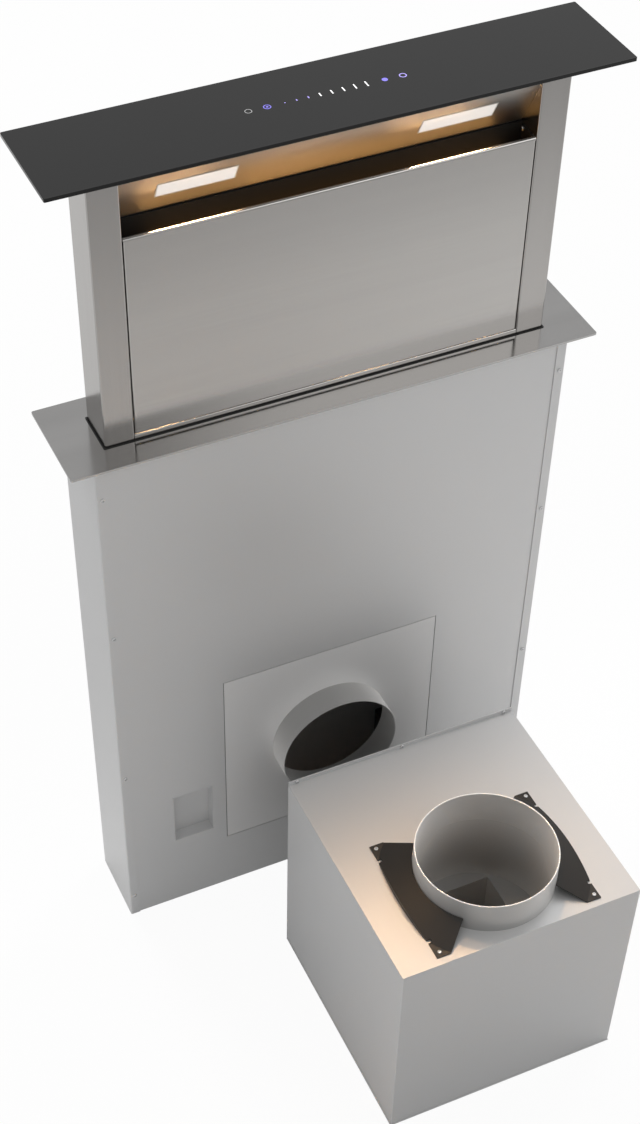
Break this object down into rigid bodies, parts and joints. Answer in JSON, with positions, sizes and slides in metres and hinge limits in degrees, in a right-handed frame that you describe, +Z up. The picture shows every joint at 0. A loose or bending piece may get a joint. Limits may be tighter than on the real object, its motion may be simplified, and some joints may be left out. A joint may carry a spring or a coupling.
{
  "type": "downdraft vent",
  "caption": "Worktop downdraft vent with a tower that rises out of a slim housing, a glass top with lamps under it, and a separate square blower box with a round outlet.",
  "frame": {"origin": "middle of the housing's underside, on the floor", "axes": "+Z up, the way the tower rises; -Y the front, where the outlet plate, the lamps and the blower box are; +X to the right seen from the front"},
  "size_m": [0.6, 0.5167, 1.0604],
  "materials": {
    "coated_sheet": "satin light grey coated sheet",
    "duct_sheet": "plain galvanised sheet",
    "brushed_steel": "fine brushed stainless",
    "black_sheet": "black coated sheet",
    "zinc_steel": "zinc plated",
    "screw_steel": "plated",
    "seal_rubber": "matt black",
    "black_plastic": "matt black",
    "white_plastic": "natural acetal",
    "bronze": "sintered bronze",
    "motor_metal": "dark grey",
    "capacitor_can": "white",
    "lamp_bezel": "white",
    "diffuser": "opal diffuser",
    "lamp_board": "white board",
    "black_glass": "black glass, opaque from behind",
    "filter_frame": "anodised",
    "filter_mesh": "expanded mesh",
    "wheel_sheet": "galvanised"
  },
  "bodies": {
    "housing": {"left_side_panel": "coated_sheet", "right_side_panel": "coated_sheet", "front_cover": "coated_sheet", "back_panel": "coated_sheet", "bottom_pan": "coated_sheet", "top_rails": "coated_sheet", "worktop_flange": "brushed_steel", "wiper_seal": "seal_rubber", "outlet_plate": "coated_sheet", "plate_backing_frame": "coated_sheet", "duct_collar": "duct_sheet", "connection_recess": "coated_sheet", "cover_screws": "screw_steel", "control_box": "black_plastic", "mains_gland": "black_plastic", "lift_racks": "white_plastic", "guide_rails": "zinc_steel"},
    "tower": {"right_post": "brushed_steel", "left_post": "brushed_steel", "tower_back_panel": "brushed_steel", "front_apron": "brushed_steel", "lower_cross_bars": "zinc_steel", "panel_studs": "screw_steel", "panel_catches": "black_sheet", "catch_screws": "screw_steel", "lamp_panel": "brushed_steel", "lamp_bezels": "lamp_bezel", "lamp_lenses": "diffuser", "lamp_boards": "lamp_board", "glass_carrier": "zinc_steel", "glass_top": "black_glass", "touch_module": "black_plastic", "filter_rails": "black_sheet", "guide_shoes": "white_plastic", "shaft_bushes": "bronze", "lift_gearmotor": "motor_metal"},
    "front_panel": {"front_panel": "brushed_steel"},
    "left_filter": {"left_filter_frame": "filter_frame", "left_filter_mesh": "filter_mesh"},
    "right_filter": {"right_filter_frame": "filter_frame", "right_filter_mesh": "filter_mesh"},
    "lift_shaft": {"cross_shaft": "screw_steel", "pinions": "white_plastic"},
    "blower_box": {"box_top_panel": "coated_sheet", "box_left_panel": "coated_sheet", "box_right_panel": "coated_sheet", "box_front_panel": "coated_sheet", "box_bottom_panel": "coated_sheet", "box_rear_frame": "coated_sheet", "outlet_collar": "duct_sheet", "right_collar_bracket": "black_sheet", "left_collar_bracket": "black_sheet", "box_screws": "screw_steel", "fan_scroll": "duct_sheet", "outlet_transition": "duct_sheet", "inlet_ring": "duct_sheet", "fan_motor": "motor_metal", "motor_spider": "zinc_steel", "run_capacitor": "capacitor_can"},
    "blower_wheel": {"blower_wheel": "wheel_sheet"}
  },
  "joints": [
    {"name": "tower_lift", "type": "slide", "parent": "housing", "child": "tower", "axis": [0, 0, 1], "range_m": [-0.316, 0]},
    {"name": "panel_unhook", "type": "slide", "parent": "tower", "child": "front_panel", "axis": [0, 0, 1], "range_m": [0, 0.006]},
    {"name": "left_filter_lift", "type": "slide", "parent": "tower", "child": "left_filter", "axis": [0, 0, 1], "range_m": [0, 0.008]},
    {"name": "right_filter_lift", "type": "slide", "parent": "tower", "child": "right_filter", "axis": [0, 0, 1], "range_m": [0, 0.008]},
    {"name": "shaft_turn", "type": "hinge", "parent": "tower", "child": "lift_shaft", "pos_m": [0, 0, 0.6742], "axis": [1, 0, 0], "range_deg": [-5, 1455]},
    {"name": "blower_box_place", "type": "slide", "parent": "housing", "child": "blower_box", "axis": [0, 1, 0], "range_m": [-0.15, 0.075]},
    {"name": "wheel_spin", "type": "hinge", "parent": "blower_box", "child": "blower_wheel", "pos_m": [-0.0183, -0.3648, 0.1012], "axis": [0, 1, 0], "continuous": true}
  ],
  "couplings": [
    {"joint": "shaft_turn", "follows": "tower_lift", "rad_per_m": -80}
  ]
}
